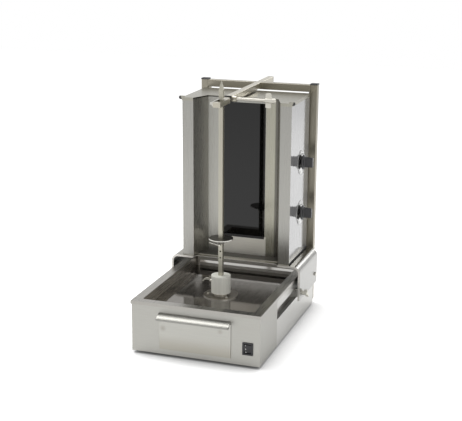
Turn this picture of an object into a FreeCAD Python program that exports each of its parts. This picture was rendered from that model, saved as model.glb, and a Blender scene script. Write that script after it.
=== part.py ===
import FreeCAD, Part
import math
import os

# Electric skewer grill: a drip base with a drawer and a turning hub, a heater
# housing on a sliding carriage, and a rear frame whose arm steadies the skewer.
# Millimetres.  X to the right, Y to the back, Z up.  The origin lies on the
# table, under the middle of the base.

V = FreeCAD.Vector

# ---- clearances ----
slide_gap = 0.3          # between pieces that move past each other
running_gap = 0.05       # shaft in its bearing
seam_gap = 0.5           # butt seam between two panels

# ---- base ----
sheet = 1.5              # sheet of the base, the tray and the heater housing
foot_height = 10.0
foot_radius = 16.0
foot_inset = 42.0
base_width = 460.0       # over the tray's lip
base_depth = 676.0
base_height = 178.0      # without the feet
lip_overhang = 3.0
lip_height = 11.0
side_rim = 32.0
front_rim = 30.0
basin_depth = 40.0
basin_length = 532.0
basin_corner = 10.0
front_wrap_length = 195.0       # the front panel turns round the corners this far
drain_radius = 11.0
drain_from_front = 92.0
drain_length = 14.0
floor_vent_count = 5
floor_vent_pitch = 30.0
floor_vent_start = 60.0         # behind the hub's middle
back_vent_count = 3
back_vent_level = 40.0          # above the lower edge of the base
back_vent_offset = 80.0         # of each column from the middle

# ---- carriage slots, rails and shoes ----
slot_start = 198.0       # from the front of the base
slot_end = 652.0
slot_bottom = 97.0       # above the lower edge of the base
slot_height = 38.0
rail_ledge = 23.0
rail_lip = 6.0
rail_foot = 18.0
shoe_length = 40.0
shoe_height = 24.0
lock_thread = 5.0
guide_pin_radius = 4.0
front_pin_from_front = 424.0
rear_pin_from_front = 625.0
lock_from_front = 456.0
lock_height = 112.0
rear_shoe_from_front = 596.0

# ---- drawer, handle and switch ----
drawer_width = 254.0
drawer_bottom = 19.0     # of its front plate, above the lower edge of the base
drawer_top = 147.0
drawer_sheet = 1.2
drawer_front_thick = 3.0
drawer_box_width = 236.0
drawer_box_bottom = 23.0
drawer_box_top = 116.0
drawer_box_length = 192.0
handle_reach = 25.0
handle_drop = 11.0
handle_sheet = 2.0
handle_roll = 4.6
runner_width = 14.0
runner_wall = 22.0
runner_lip = 4.0
runner_extra = 20.0      # the runners are longer than the drawer box
gland_inset = 77.0       # from the base's side panel
gland_height = 45.0
gland_neck = 7.7
gland_bore = 4.5
gland_flange_radius = 13.0
gland_flange_thick = 6.0
gland_cap_radius = 10.0
gland_cap_length = 18.0
terminal_width = 36.0
terminal_depth = 26.0
terminal_below = 11.0    # the block reaches this far below the gland's middle
terminal_above = 5.0
terminal_slot = 6.0
terminal_gap = 24.0      # from the gland's middle
switch_width = 37.0
switch_height = 44.0
switch_centre_x = 185.5
switch_centre_height = 59.0
switch_depth = 30.0
switch_frame = 3.6
switch_wall = 1.4
switch_well = 14.0
rocker_pin_radius = 1.5
rocker_swing = 14.0

# ---- drive, skewer and meat plate ----
hub_from_front = 264.0
hub_radius = 34.0
hub_height = 62.5
thumb_rise = 39.0
thumb_radius = 4.0
thumb_reach = 69.0
thumb_width = 7.0
flange_radius = 61.0
flange_thick = 3.5
flange_boss_radius = 26.0
flange_boss_height = 7.0
flange_screw_circle = 45.0
flange_screw_turn = 75.0
flange_screw_count = 3
flange_screw_radius = 4.2
flange_screw_height = 2.8
floor_bore_clearance = 1.5      # round the shaft, in the tray and the flange
bearing_half = 20.0
bearing_height = 12.0
bearing_drop = 16.0
bracket_gap = 4.0
bracket_sheet = 3.0
bracket_ear = 20.0
shaft_into_gearbox = 30.0
shaft_into_hub = 13.0
shaft_radius = 10.0
gearbox_width = 90.0
gearbox_height = 55.0
motor_half = 34.0
motor_height = 46.0
skewer_size = 15.0
skewer_length = 728.0
skewer_tip = 30.0
neck_radius = 6.3
neck_length = 30.0
socket_depth = 44.5
plate_radius = 42.5
plate_thick = 3.0
plate_collar_radius = 12.0
plate_collar_height = 17.0
pin_radius = 2.7
pin_hole_pitch = 23.5
pin_hole_count = 3
pin_level = 324.0        # axis of the pin above the lower edge of the base
pin_arm = 36.0

# ---- carriage ----
saddle_clearance = 16.0    # from the tray's lip to the outside of the saddle
saddle_front = 413.0     # from the front of the base
saddle_back = 657.0
saddle_top = 220.0       # above the lower edge of the base
saddle_sheet = 2.0
saddle_bend = 25.0
saddle_side = 127.0      # height of the side plates
saddle_hem = 7.5
saddle_notch = 12.0      # the front edge steps back between the wings
saddle_corner = 12.0
pin_head_radius = 7.5
pin_head_height = 5.0
lock_barrel_radius = 8.0
lock_barrel_length = 16.0
lock_reach_inside = 12.0    # of the screw's end behind the side panel
lock_wing_thick = 4.0
lock_wing_turn = 35.0
lock_hole_clearance = 0.5

# ---- heater housing ----
housing_width = 404.0
housing_front = 420.0
housing_back = 657.0
housing_top = 800.0
wing_width = 41.0        # front flange of each wing
recess_half_width = 131.0
recess_depth = 77.0
window_half_width = 86.0
window_bottom = 292.0
window_top = 785.0
glass_thick = 4.0
glass_overlap = 7.0
splash_half_width = 91.0
splash_thick = 2.0
cover_height = 5.0
cover_lip = 10.0
lug_radius = 6.5
lug_reach = 13.0
floor_plate_front = 446.0
vent_length = 60.0
vent_width = 5.0
vent_pitch = 14.0
vent_count = 7
vent_margin = 60.0       # from the housing's floor and top
wiring_hole_x = 120.0
wiring_hole_height = 30.0
wiring_hole_radius = 8.0
cover_spacer_start = 20.0
cover_spacer_length = 40.0
lug_root = 12.0
clip_leg = 16.0
clip_grip = 8.0
clip_width = 16.0
clip_inset = 40.0        # of the end clips from the window's ends
clip_sheet = 1.0

# ---- heating parts ----
element_half_width = 74.0
element_pitch = 24.0
ribbon_depth = 10.0
ribbon_thick = 1.5
bracket_depth = 8.0
reflector_depth = 34.0
reflector_taper = 8.0
reflector_sheet = 1.0
glass_gap = 1.2          # between the glass and the reflector's rim
insulation_side_gap = 4.0
strip_width = 10.0
strip_inset = 20.0
strip_end_gap = 4.0
insulation_thick = 26.0
regulator_width = 44.0
regulator_depth = 34.0

# ---- knobs ----
knob_from_front = 560.0
knob_heights = (571.0, 383.0)
dial_radius = 46.0
dial_thick = 1.2
knob_radius = 24.0
knob_reach = 30.0
knob_flutes = 16
knob_flute_depth = 2.0
knob_shaft_radius = 3.0
knob_shaft_hole_clearance = 2.0
spindle_inside = 14.0    # the spindle reaches this far into the regulator
knob_skirt = 2.0         # wider and thicker foot of the grip
pointer_width = 3.2
pointer_height = 1.4

# ---- rear frame and arm ----
post_size = 26.0
post_wall = 2.0
post_inset = 2.5         # from the base's side panel
post_bolt_heights = (45.0, 140.0)
post_bolt_radius = 6.5
post_bolt_height = 5.0
cap_plug = 14.0
post_bottom = 8.0
post_top = 832.5
cap_overhang = 1.2
cap_thick = 4.5
arm_centre_x = -2.5
arm_width = 23.0
arm_height = 22.0
arm_wall = 2.2
arm_front = 340.0
arm_back = 838.0
arm_plug_length = 14.0
arm_plug_cap = 3.0
plug_clearance = 0.1
inner_arm_front = 209.0
inner_arm_length = 440.0
inner_arm_travel = 25.0
notch_reach = 40.0       # cuts the notch through the bar's left side
head_right = 15.0        # the bar's head in front of the tube is wider than the bar
head_length = 103.0
fork_gap = 1.5
gate_thick = 4.0
gate_length = 64.0
gate_knuckle = 4.5
gate_pin_radius = 1.8
gate_seat = 5.0
gate_side_gap = 2.6
gate_grip_reach = 7.0
gate_grip_width = 6.0
collar_radius = 10.5
collar_length = 14.5
collar_from_front = 356.0
clamp_rod_radius = 5.5
clamp_rod_length = 118.5
clamp_hub_radius = 9.0
clamp_hub_length = 33.0
clamp_wing_half = 25.5
clamp_wing_width = 19.0
clamp_wing_thick = 6.0

# ---- levels and places worked out from the sizes ----
front_y = -base_depth / 2
back_y = base_depth / 2
base_z = foot_height
deck_z = base_z + base_height
floor_z = deck_z - basin_depth
body_half = base_width / 2 - lip_overhang
body_front = front_y + lip_overhang
basin_half = base_width / 2 - side_rim
basin_front = front_y + front_rim
basin_back = basin_front + basin_length
hub_y = front_y + hub_from_front
hub_bottom = floor_z + flange_thick + flange_boss_height + 2 * slide_gap
hub_top = hub_bottom + hub_height
socket_bottom = hub_top - socket_depth
skewer_bottom = socket_bottom + slide_gap
skewer_half = skewer_size / 2
skewer_top = skewer_bottom + skewer_length
pin_z = base_z + pin_level
arm_z = base_z + post_top - arm_height / 2
saddle_z = base_z + saddle_top
housing_z0 = saddle_z + saddle_sheet
housing_z1 = base_z + housing_top
housing_y0 = front_y + housing_front
housing_y1 = front_y + housing_back
recess_y = housing_y0 + recess_depth
reflector_y = recess_y + sheet + glass_thick + glass_gap
shaft_hole_radius = knob_shaft_radius + knob_shaft_hole_clearance
housing_half = housing_width / 2
wing_inner = housing_half - wing_width
side_x = housing_half - sheet
knob_y = front_y + knob_from_front
clamp_y = front_y + collar_from_front
lock_y = front_y + lock_from_front
post_outside = body_half - post_inset
lock_z = base_z + lock_height
pin_axis_z = base_z + slot_bottom + slot_height - guide_pin_radius - slide_gap
saddle_half = base_width / 2 + saddle_clearance
rail_x = body_half - sheet - rail_ledge
shoe_z = base_z + slot_bottom + slide_gap
thumb_z = hub_bottom + thumb_rise
bracket_z = floor_z - bearing_drop - bracket_gap
gland_x = body_half - gland_inset
gland_z = base_z + gland_height
rocker_y = body_front + 1.4
inner_half_w = arm_width / 2 - arm_wall - slide_gap
inner_half_h = arm_height / 2 - arm_wall - slide_gap
swing_radius = skewer_half * math.sqrt(2) + fork_gap
gate_x = arm_centre_x - inner_half_w - gate_knuckle - gate_side_gap / 2
gate_y = hub_y + swing_radius + gate_knuckle + 0.5
gate_z = arm_z - inner_half_h + gate_seat + slide_gap
gate_top = arm_z + inner_half_h


def box(x0, x1, y0, y1, z0, z1):
    return Part.makeBox(x1 - x0, y1 - y0, z1 - z0, V(x0, y0, z0))


def rod(start, direction, radius, length):
    return Part.makeCylinder(radius, length, V(*start), V(*direction))


def fuse(shapes):
    result = shapes[0]
    for other in shapes[1:]:
        result = result.fuse(other)
    return result.removeSplitter()


def prism(points, direction):
    """Closed outline of 3-D points, swept along a vector."""
    wire = Part.makePolygon([V(*p) for p in points] + [V(*points[0])])
    return Part.Face(wire).extrude(V(*direction))


def strip(points, thick):
    """Outline of a bent sheet: the path, and the same path offset to its left."""
    offset = []
    for i, (x, y) in enumerate(points):
        normals = []
        for a, b in ((i - 1, i), (i, i + 1)):
            if a >= 0 and b < len(points):
                dx = points[b][0] - points[a][0]
                dy = points[b][1] - points[a][1]
                length = math.hypot(dx, dy)
                normals.append((-dy / length, dx / length))
        if len(normals) == 1:
            mx, my = normals[0]
        else:
            (ax, ay), (bx, by) = normals
            scale = 1 + ax * bx + ay * by
            mx, my = (ax + bx) / scale, (ay + by) / scale
        offset.append((x + mx * thick, y + my * thick))
    return list(points) + offset[::-1]


def mirrored(shape):
    return shape.mirror(V(0, 0, 0), V(1, 0, 0))


def both_sides(shape):
    return Part.makeCompound([shape, mirrored(shape)])


def edges_along(shape, axis, test=None):
    """Straight edges parallel to an axis (0, 1 or 2) whose centre passes a test."""
    found = []
    for edge in shape.Edges:
        if len(edge.Vertexes) < 2:
            continue
        step = edge.Vertexes[1].Point - edge.Vertexes[0].Point
        parts = [abs(step.x), abs(step.y), abs(step.z)]
        if parts[axis] < 1e-6 or sum(parts) - parts[axis] > 1e-6:
            continue
        if test is None or test(edge.CenterOfMass):
            found.append(edge)
    return found


def save(name, shape):
    shape.exportStep("parts/" + name + ".step")


def hex_points(centre, axis, radius):
    """Corners of a hexagon about a point, in the plane square to the axis."""
    side = V(0, 0, 1) if abs(axis.z) < 0.5 else V(1, 0, 0)
    across = axis.cross(side)
    corners = []
    for i in range(6):
        turn = math.radians(60 * i)
        corners.append(centre + side * (radius * math.cos(turn)) + across * (radius * math.sin(turn)))
    return corners + [corners[0]]


def hex_head(centre, direction, radius, height):
    """Hexagon head or nut; direction points out of it."""
    axis = V(*direction)
    return Part.Face(Part.makePolygon(hex_points(V(*centre), axis, radius))).extrude(axis * height)


def screw_head(centre, direction, radius, height):
    """Low round head with a hexagon socket."""
    axis = V(*direction)
    start = V(*centre) + axis * (height * 0.45)
    socket = Part.Face(Part.makePolygon(hex_points(start, axis, radius * 0.5))).extrude(axis * height)
    return rod(centre, direction, radius, height).cut(socket)


# ---------------------------------------------------------------- base
def front_panel():
    turn = front_y + front_wrap_length
    path = [(-body_half, turn), (-body_half, body_front), (body_half, body_front), (body_half, turn)]
    outline = [(x, y, base_z) for x, y in strip(path, sheet)]
    panel = prism(outline, (0, 0, deck_z - sheet - base_z))
    opening_half = drawer_box_width / 2 + 2
    panel = panel.cut(box(-opening_half, opening_half, body_front - 1, body_front + 9,
                          base_z + drawer_box_bottom - 2, base_z + drawer_box_top + 2))
    half_w = switch_width / 2 - switch_frame
    half_h = switch_height / 2 - switch_frame
    centre_z = base_z + switch_centre_height
    return panel.cut(box(switch_centre_x - half_w, switch_centre_x + half_w, body_front - 1, body_front + 9,
                         centre_z - half_h, centre_z + half_h))


def side_panel():
    start = front_y + front_wrap_length + seam_gap
    panel = box(body_half - sheet, body_half, start, back_y - sheet, base_z, deck_z - sheet)
    slot = box(body_half - 5, body_half + 5, front_y + slot_start, front_y + slot_end,
               base_z + slot_bottom, base_z + slot_bottom + slot_height)
    return panel.cut(slot)


def guide_rail():
    """Ledge behind the slot: a foot on the panel, the ledge and an upstand."""
    z = base_z + slot_bottom
    x = body_half - sheet
    path = [(x, z - rail_foot), (x, z), (x - rail_ledge, z), (x - rail_ledge, z + rail_lip)]
    outline = [(px, front_y + slot_start - 2, pz) for px, pz in strip(path, sheet)]
    return prism(outline, (0, slot_end - slot_start + 4, 0))


def back_panel():
    panel = box(-body_half, body_half, back_y - sheet, back_y, base_z, deck_z)
    for row in range(back_vent_count):
        for x in (-back_vent_offset, back_vent_offset):
            z = base_z + back_vent_level + row * vent_pitch
            panel = panel.cut(box(x - vent_length / 2, x + vent_length / 2,
                                  back_y - 9, back_y + 9, z, z + vent_width))
    return panel.cut(rod((gland_x, back_y - 9, gland_z), (0, 1, 0), gland_neck + slide_gap, 20))


def bottom_plate():
    half = body_half - sheet
    plate = box(-half, half, body_front + sheet, back_y - sheet, base_z, base_z + sheet)
    y0 = hub_y + floor_vent_start
    for i in range(floor_vent_count):
        x = (i - (floor_vent_count - 1) / 2) * floor_vent_pitch
        plate = plate.cut(box(x - vent_width / 2, x + vent_width / 2, y0, y0 + vent_length,
                              base_z - 1, base_z + 9))
    return plate


def foot_places():
    places = []
    for sx in (-1, 1):
        for y in (front_y + foot_inset, back_y - foot_inset):
            places.append((sx * (body_half - foot_inset), y))
    return places


def feet():
    pads = []
    for x, y in foot_places():
        pads.append(rod((x, y, 0), (0, 0, 1), foot_radius, foot_height))
    return Part.makeCompound(pads)


def drip_tray():
    half = base_width / 2
    y1 = back_y - sheet
    tray = box(-half, half, front_y, y1, deck_z - lip_height, deck_z)
    inside = half - sheet
    tray = tray.cut(box(-inside, inside, front_y + sheet, y1 + 1, deck_z - lip_height - 1, deck_z - sheet))
    inner = box(-basin_half, basin_half, basin_front, basin_back, floor_z, deck_z + 1)
    inner = inner.makeFillet(basin_corner, edges_along(inner, 2))
    outer = box(-basin_half - sheet, basin_half + sheet, basin_front - sheet, basin_back + sheet,
                floor_z - sheet, deck_z)
    outer = outer.makeFillet(basin_corner + sheet, edges_along(outer, 2))
    tray = tray.fuse(outer).cut(inner)
    tray = tray.cut(rod((0, hub_y, floor_z - 9), (0, 0, 1), shaft_radius + floor_bore_clearance, 20))
    y = front_y + drain_from_front
    spout = rod((0, y, floor_z - sheet - drain_length), (0, 0, 1), drain_radius + sheet, drain_length)
    bore = rod((0, y, floor_z - sheet - drain_length - 1), (0, 0, 1), drain_radius, drain_length + 9)
    return tray.fuse(spout).cut(bore)


def drawer_runners():
    """Two folded rails on the bottom plate that carry and guide the drawer box."""
    x = drawer_box_width / 2 + slide_gap
    z0 = base_z + sheet
    z1 = base_z + drawer_box_bottom - slide_gap
    y0 = body_front + sheet
    y1 = y0 + drawer_box_length + runner_extra
    outer = box(x - runner_width, x + runner_lip, y0, y1, z0, z1)
    upright = box(x, x + runner_lip, y0, y1, z1, z1 + runner_wall)
    hollow = box(x - runner_width + sheet, x + runner_lip - sheet, y0 - 1, y1 + 10, z0 - 1, z1 - sheet)
    return both_sides(outer.fuse(upright).cut(hollow).removeSplitter())


def switch_housing():
    z = base_z + switch_centre_height
    half_w = switch_width / 2
    half_h = switch_height / 2
    x = switch_centre_x
    frame = box(x - half_w, x + half_w, body_front - 2.5, body_front, z - half_h, z + half_h)
    frame = frame.makeFillet(2.0, edges_along(frame, 1))
    neck_w = half_w - switch_frame - slide_gap
    neck_h = half_h - switch_frame - slide_gap
    body = box(x - neck_w, x + neck_w, body_front - 1, body_front + switch_depth, z - neck_h, z + neck_h)
    well_w = neck_w - switch_wall
    well_h = neck_h - switch_wall
    well = box(x - well_w, x + well_w, body_front - 4, body_front + switch_well, z - well_h, z + well_h)
    pin = rod((x - well_w - 1, rocker_y, z), (1, 0, 0), rocker_pin_radius, 2 * well_w + 2)
    return fuse([frame.fuse(body).cut(well), pin])


def rocker():
    """Rocker paddle: a shallow V face and a rounded back, turning on its middle."""
    z = base_z + switch_centre_height
    half_w = switch_width / 2 - switch_frame - slide_gap - switch_wall - slide_gap
    half_h = switch_height / 2 - switch_frame - slide_gap - 1.4 - 2.2
    y = rocker_y - 2.0
    turn = math.radians(rocker_swing / 2)
    rise = half_h * math.tan(turn)
    outline = [(y - 2.4, 0), (y - 2.4 + rise, half_h), (y + 5.5, half_h * 0.93), (y + 9.5, 0),
               (y + 5.5, -half_h * 0.93), (y - 2.4 + rise, -half_h)]
    paddle = prism([(switch_centre_x - half_w, py, z + pz) for py, pz in outline], (2 * half_w, 0, 0))
    paddle.rotate(V(switch_centre_x, rocker_y, z), V(1, 0, 0), rocker_swing / 2)
    return paddle.cut(rod((0, rocker_y, z), (1, 0, 0), rocker_pin_radius + running_gap, body_half))


def terminal_block():
    y = back_y - sheet
    x1 = gland_x - terminal_gap
    x0 = x1 - terminal_width
    block = box(x0, x1, y - terminal_depth, y, gland_z - terminal_below, gland_z + terminal_above)
    r = terminal_slot / 2
    for i in range(3):
        x = x0 + terminal_width * (i + 0.5) / 3
        block = block.cut(box(x - r, x + r, y - terminal_depth + 6, y - 8, gland_z, gland_z + 20))
    return block


def cable_gland(x, y, z):
    """Gland with a flange hexagon, a smaller cap nut and a bore for the supply lead."""
    gland = hex_head((x, y, z), (0, 1, 0), gland_flange_radius, gland_flange_thick)
    gland = gland.fuse(hex_head((x, y, z), (0, 1, 0), gland_cap_radius, gland_cap_length))
    gland = gland.fuse(rod((x, y - 6, z), (0, 1, 0), gland_neck, 7))
    return gland.cut(rod((x, y - 9, z), (0, 1, 0), gland_bore, 40))


# ---------------------------------------------------------------- drive
def hub_flange():
    z = floor_z
    part = rod((0, hub_y, z), (0, 0, 1), flange_radius, flange_thick)
    part = part.fuse(rod((0, hub_y, z), (0, 0, 1), flange_boss_radius, flange_thick + flange_boss_height))
    return part.cut(rod((0, hub_y, z - 1), (0, 0, 1), shaft_radius + floor_bore_clearance, 60))


def drive_bearing():
    """Square bearing block bolted up against the tray's floor."""
    half = bearing_half
    z1 = floor_z - sheet
    block = box(-half, half, hub_y - half, hub_y + half, z1 - bearing_height, z1)
    return block.cut(rod((0, hub_y, z1 - bearing_height - 1), (0, 0, 1), shaft_radius + running_gap, 40))


def flange_screws():
    heads = []
    for i in range(flange_screw_count):
        turn = math.radians(flange_screw_turn + 360 / flange_screw_count * i)
        x = flange_screw_circle * math.cos(turn)
        y = hub_y + flange_screw_circle * math.sin(turn)
        heads.append(screw_head((x, y, floor_z + flange_thick), (0, 0, 1),
                                flange_screw_radius, flange_screw_height))
    return Part.makeCompound(heads)


def motor_bracket():
    """Hat-shaped plate that hangs the gearbox under the tray."""
    half = gearbox_width / 2
    t = bracket_sheet
    top = floor_z - sheet - t
    path = [(-half - bracket_ear, top), (-half - 2, top), (-half - 2, bracket_z - t),
            (half + 2, bracket_z - t), (half + 2, top), (half + bracket_ear, top)]
    outline = [(x, hub_y - half, z) for x, z in strip(path, t)]
    hat = prism(outline, (0, gearbox_width, 0))
    return hat.cut(rod((0, hub_y, bracket_z - 9), (0, 0, 1), shaft_radius + 2, 20))


def gear_motor():
    half = gearbox_width / 2
    z1 = bracket_z - bracket_sheet
    case = box(-half, half, hub_y - half, hub_y + half, z1 - gearbox_height, z1)
    z0 = z1 - gearbox_height
    stack = box(-motor_half, motor_half, hub_y - motor_half, hub_y + motor_half, z0 - motor_height, z0)
    coil = box(-motor_half * 0.6, motor_half * 0.6, hub_y - motor_half - 8, hub_y + motor_half + 8,
               z0 - motor_height + 6, z0 - 6)
    bore = rod((0, hub_y, z1 - shaft_into_gearbox), (0, 0, 1), shaft_radius + running_gap, 40)
    return fuse([case, stack, coil]).cut(bore)


def drive_shaft():
    z0 = bracket_z - bracket_sheet - shaft_into_gearbox + slide_gap
    return rod((0, hub_y, z0), (0, 0, 1), shaft_radius, hub_bottom + shaft_into_hub - z0)


def hub():
    body = rod((0, hub_y, hub_bottom), (0, 0, 1), hub_radius, hub_height)
    body = body.cut(rod((0, hub_y, hub_bottom - 1), (0, 0, 1), shaft_radius, 1 + shaft_into_hub))
    half = skewer_half + slide_gap
    body = body.cut(box(-half, half, hub_y - half, hub_y + half, socket_bottom, hub_top + 1))
    return body.cut(rod((0, hub_y, thumb_z), (-1, 0, 0), thumb_radius + running_gap, 60))


def hub_thumb_screw():
    """Stem through the hub's wall with a curved lever forged on its end."""
    tip = -(skewer_half + slide_gap + 0.2)
    stem = rod((tip, hub_y, thumb_z), (-1, 0, 0), thumb_radius, hub_radius + 7 + tip)
    root = -hub_radius - 4
    crest = (root - thumb_reach) / 2 + 4
    y0 = hub_y - thumb_width / 2
    upper = Part.Arc(V(root, y0, thumb_z + 3), V(crest, y0, thumb_z + 8),
                     V(-thumb_reach, y0, thumb_z - 5)).toShape()
    lower = Part.Arc(V(-thumb_reach + 3, y0, thumb_z - 8), V(crest, y0, thumb_z + 2),
                     V(root, y0, thumb_z - 4)).toShape()
    tip_edge = Part.makeLine(V(-thumb_reach, y0, thumb_z - 5), V(-thumb_reach + 3, y0, thumb_z - 8))
    root_edge = Part.makeLine(V(root, y0, thumb_z - 4), V(root, y0, thumb_z + 3))
    lever = Part.Face(Part.Wire([upper, tip_edge, lower, root_edge])).extrude(V(0, thumb_width, 0))
    return fuse([stem, lever])


# ---------------------------------------------------------------- skewer
def skewer():
    half = skewer_half
    shank_top = skewer_top - skewer_tip
    profile = [(-half, skewer_bottom), (half, skewer_bottom), (half, shank_top), (0.6, skewer_top),
               (-0.6, skewer_top), (-half, shank_top)]
    bar = prism([(x, hub_y - half, z) for x, z in profile], (0, 2 * half, 0))
    bar = bar.common(prism([(-half, hub_y + y, z) for y, z in profile], (2 * half, 0, 0)))
    for i in range(pin_hole_count):
        bar = bar.cut(rod((0, hub_y - 20, pin_z - i * pin_hole_pitch), (0, 1, 0), pin_radius + slide_gap, 40))
    neck = box(-20, 20, hub_y - 20, hub_y + 20, arm_z - neck_length / 2, arm_z + neck_length / 2)
    neck = neck.cut(rod((0, hub_y, arm_z - neck_length), (0, 0, 1), neck_radius, 2 * neck_length))
    return bar.cut(neck).removeSplitter()


def meat_plate():
    z0 = pin_z + pin_radius + slide_gap
    z1 = z0 + plate_collar_height
    collar = rod((0, hub_y, z0), (0, 0, 1), plate_collar_radius, plate_collar_height)
    disc = rod((0, hub_y, z1), (0, 0, 1), plate_radius, plate_thick)
    half = skewer_half + slide_gap
    return fuse([collar, disc]).cut(box(-half, half, hub_y - half, hub_y + half, z0 - 1, z1 + 9))


def plate_pin():
    """Straight leg through the skewer, with an arm welded on to pull it by."""
    leg_front = hub_y - plate_collar_radius - pin_radius - 1
    start = leg_front - pin_radius
    leg = rod((0, start, pin_z), (0, 1, 0), pin_radius, hub_y + skewer_half + 3 - start)
    rise = 7.0
    length = math.hypot(pin_arm, rise)
    arm = rod((0, leg_front, pin_z), (-pin_arm, 0, rise), pin_radius - 0.3, length)
    return fuse([leg, arm])


# ---------------------------------------------------------------- drawer
def drawer_front():
    y1 = body_front - slide_gap
    half = drawer_width / 2
    plate = box(-half, half, y1 - drawer_front_thick, y1, base_z + drawer_bottom, base_z + drawer_top)
    return plate.makeFillet(1.2, edges_along(plate, 2, lambda c: c.y < y1 - 1))


def drawer_handle():
    """Sloping awning with a rolled edge: fingers go under it."""
    y1 = body_front - slide_gap - drawer_front_thick
    z1 = base_z + drawer_top
    half = drawer_width / 2
    y0 = y1 - handle_reach
    z0 = z1 - handle_drop
    outline = strip([(y1, z1 - 9), (y1, z1), (y0, z0)], handle_sheet)
    leaf = prism([(-half, y, z) for y, z in outline], (2 * half, 0, 0))
    roll_z = z0 - handle_roll + 1.6
    roll = rod((-half, y0 + 0.5, roll_z), (1, 0, 0), handle_roll, 2 * half)
    roll = roll.cut(rod((-half - 1, y0 + 0.5, roll_z), (1, 0, 0), handle_roll - 1.6, 2 * half + 2))
    return fuse([leaf, roll])


def drawer_box():
    half = drawer_box_width / 2
    y0 = body_front - slide_gap
    z0 = base_z + drawer_box_bottom
    z1 = base_z + drawer_box_top
    outer = box(-half, half, y0, y0 + drawer_box_length, z0, z1)
    outer = outer.makeFillet(6, edges_along(outer, 2, lambda c: c.y > y0 + 9))
    t = drawer_sheet
    inner = box(-half + t, half - t, y0 + t, y0 + drawer_box_length - t, z0 + t, z1 + 1)
    inner = inner.makeFillet(6 - t, edges_along(inner, 2, lambda c: c.y > y0 + 9))
    return outer.cut(inner)


# ---------------------------------------------------------------- carriage
def saddle_block(inset, y0, y1):
    """Solid arch of the saddle's outline, moved inwards by inset."""
    half = saddle_half - inset
    z0 = saddle_z - saddle_side - (inset if inset == 0 else 9)
    block = box(-half, half, y0, y1, z0, saddle_z - inset)
    top = edges_along(block, 1, lambda c: c.z > saddle_z - inset - 1)
    return block.makeFillet(max(saddle_bend - inset, 1.0), top)


def saddle():
    y0 = front_y + saddle_front
    y1 = front_y + saddle_back
    shell = saddle_block(0, y0, y1).cut(saddle_block(saddle_sheet, y0 - 1, y1 + 1))
    hem = saddle_block(saddle_sheet, y0, y0 + saddle_sheet).cut(saddle_block(saddle_hem, y0 - 1, y1))
    hem = hem.cut(box(-wing_inner, wing_inner, y0 - 1, y1, saddle_z - 60, saddle_z + 1))
    hem = hem.cut(box(-saddle_half, saddle_half, y0 - 1, y1, 0, saddle_z - saddle_side))
    notch = prism([(-wing_inner, y0 - 1, 0), (wing_inner, y0 - 1, 0), (wing_inner, y0, 0),
                   (wing_inner - saddle_notch, y0 + saddle_notch, 0),
                   (saddle_notch - wing_inner, y0 + saddle_notch, 0), (-wing_inner, y0, 0)], (0, 0, 999))
    part = shell.fuse(hem).cut(notch)
    low = saddle_z - saddle_side
    corners = edges_along(part, 0, lambda c: c.z < low + 1 and c.y > y1 - 1)
    part = part.makeFillet(saddle_corner, corners)
    part = part.cut(rod((saddle_half - 9, lock_y, lock_z), (1, 0, 0), lock_thread + lock_hole_clearance, 20))
    for side in (-1, 1):
        for y in (front_y + front_pin_from_front, front_y + rear_pin_from_front):
            r = guide_pin_radius + 0.1
            part = part.cut(box(side * saddle_half - 9, side * saddle_half + 9, y - r, y + r, pin_axis_z - r,
                                pin_axis_z + r))
    return part.removeSplitter()


def slide_shoe(y, threaded):
    """Nylon block that rides on the rail and reaches out through the slot."""
    x0 = rail_x + slide_gap
    half = shoe_length / 2
    inside = box(x0, body_half - sheet - slide_gap, y - half, y + half, shoe_z, shoe_z + shoe_height)
    neck = box(x0 + 4, saddle_half - saddle_sheet, y - half + 4, y + half - 4,
               shoe_z + 1, shoe_z + shoe_height - 1)
    shoe = inside.fuse(neck).removeSplitter()
    if threaded:
        shoe = shoe.cut(rod((x0 - 9, y, lock_z), (1, 0, 0), lock_thread + running_gap, 60))
    return shoe


def slide_shoes():
    rear_y = front_y + rear_shoe_from_front
    shoes = [slide_shoe(lock_y, True), slide_shoe(rear_y, False)]
    shoes += [mirrored(slide_shoe(lock_y, False)), mirrored(slide_shoe(rear_y, False))]
    return Part.makeCompound(shoes)


def guide_pins():
    """Bolts with square necks in the saddle's plates; they run just under the slots' upper edges."""
    pins = []
    for y in (front_y + front_pin_from_front, front_y + rear_pin_from_front):
        x0 = body_half - sheet - 9
        pin = rod((x0, y, pin_axis_z), (1, 0, 0), guide_pin_radius, saddle_half - saddle_sheet - x0)
        r = guide_pin_radius
        neck = box(saddle_half - saddle_sheet, saddle_half + 1, y - r, y + r, pin_axis_z - r, pin_axis_z + r)
        pins.append(pin.fuse(neck).fuse(hex_head((saddle_half, y, pin_axis_z), (1, 0, 0),
                                            pin_head_radius, pin_head_height)))
    return Part.makeCompound(pins + [mirrored(pin) for pin in pins])


def lock_screw():
    """Wing screw that clamps the carriage."""
    start = body_half - sheet - lock_reach_inside
    stem = rod((start, lock_y, lock_z), (1, 0, 0), lock_thread, saddle_half + 3 - start)
    barrel = rod((saddle_half + slide_gap, lock_y, lock_z), (1, 0, 0), lock_barrel_radius, lock_barrel_length)
    x0 = saddle_half + 6
    outline = [(x0, 0), (x0 + 3, 18), (x0 + 12, 21), (x0 + 15, 17),
               (x0 + 10, 0), (x0 + 15, -17), (x0 + 12, -21), (x0 + 3, -18)]
    y0 = lock_y - lock_wing_thick / 2
    wings = prism([(x, y0, lock_z + z) for x, z in outline], (0, lock_wing_thick, 0))
    wings.rotate(V(0, lock_y, lock_z), V(1, 0, 0), lock_wing_turn)
    return fuse([stem, barrel, wings])


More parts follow.
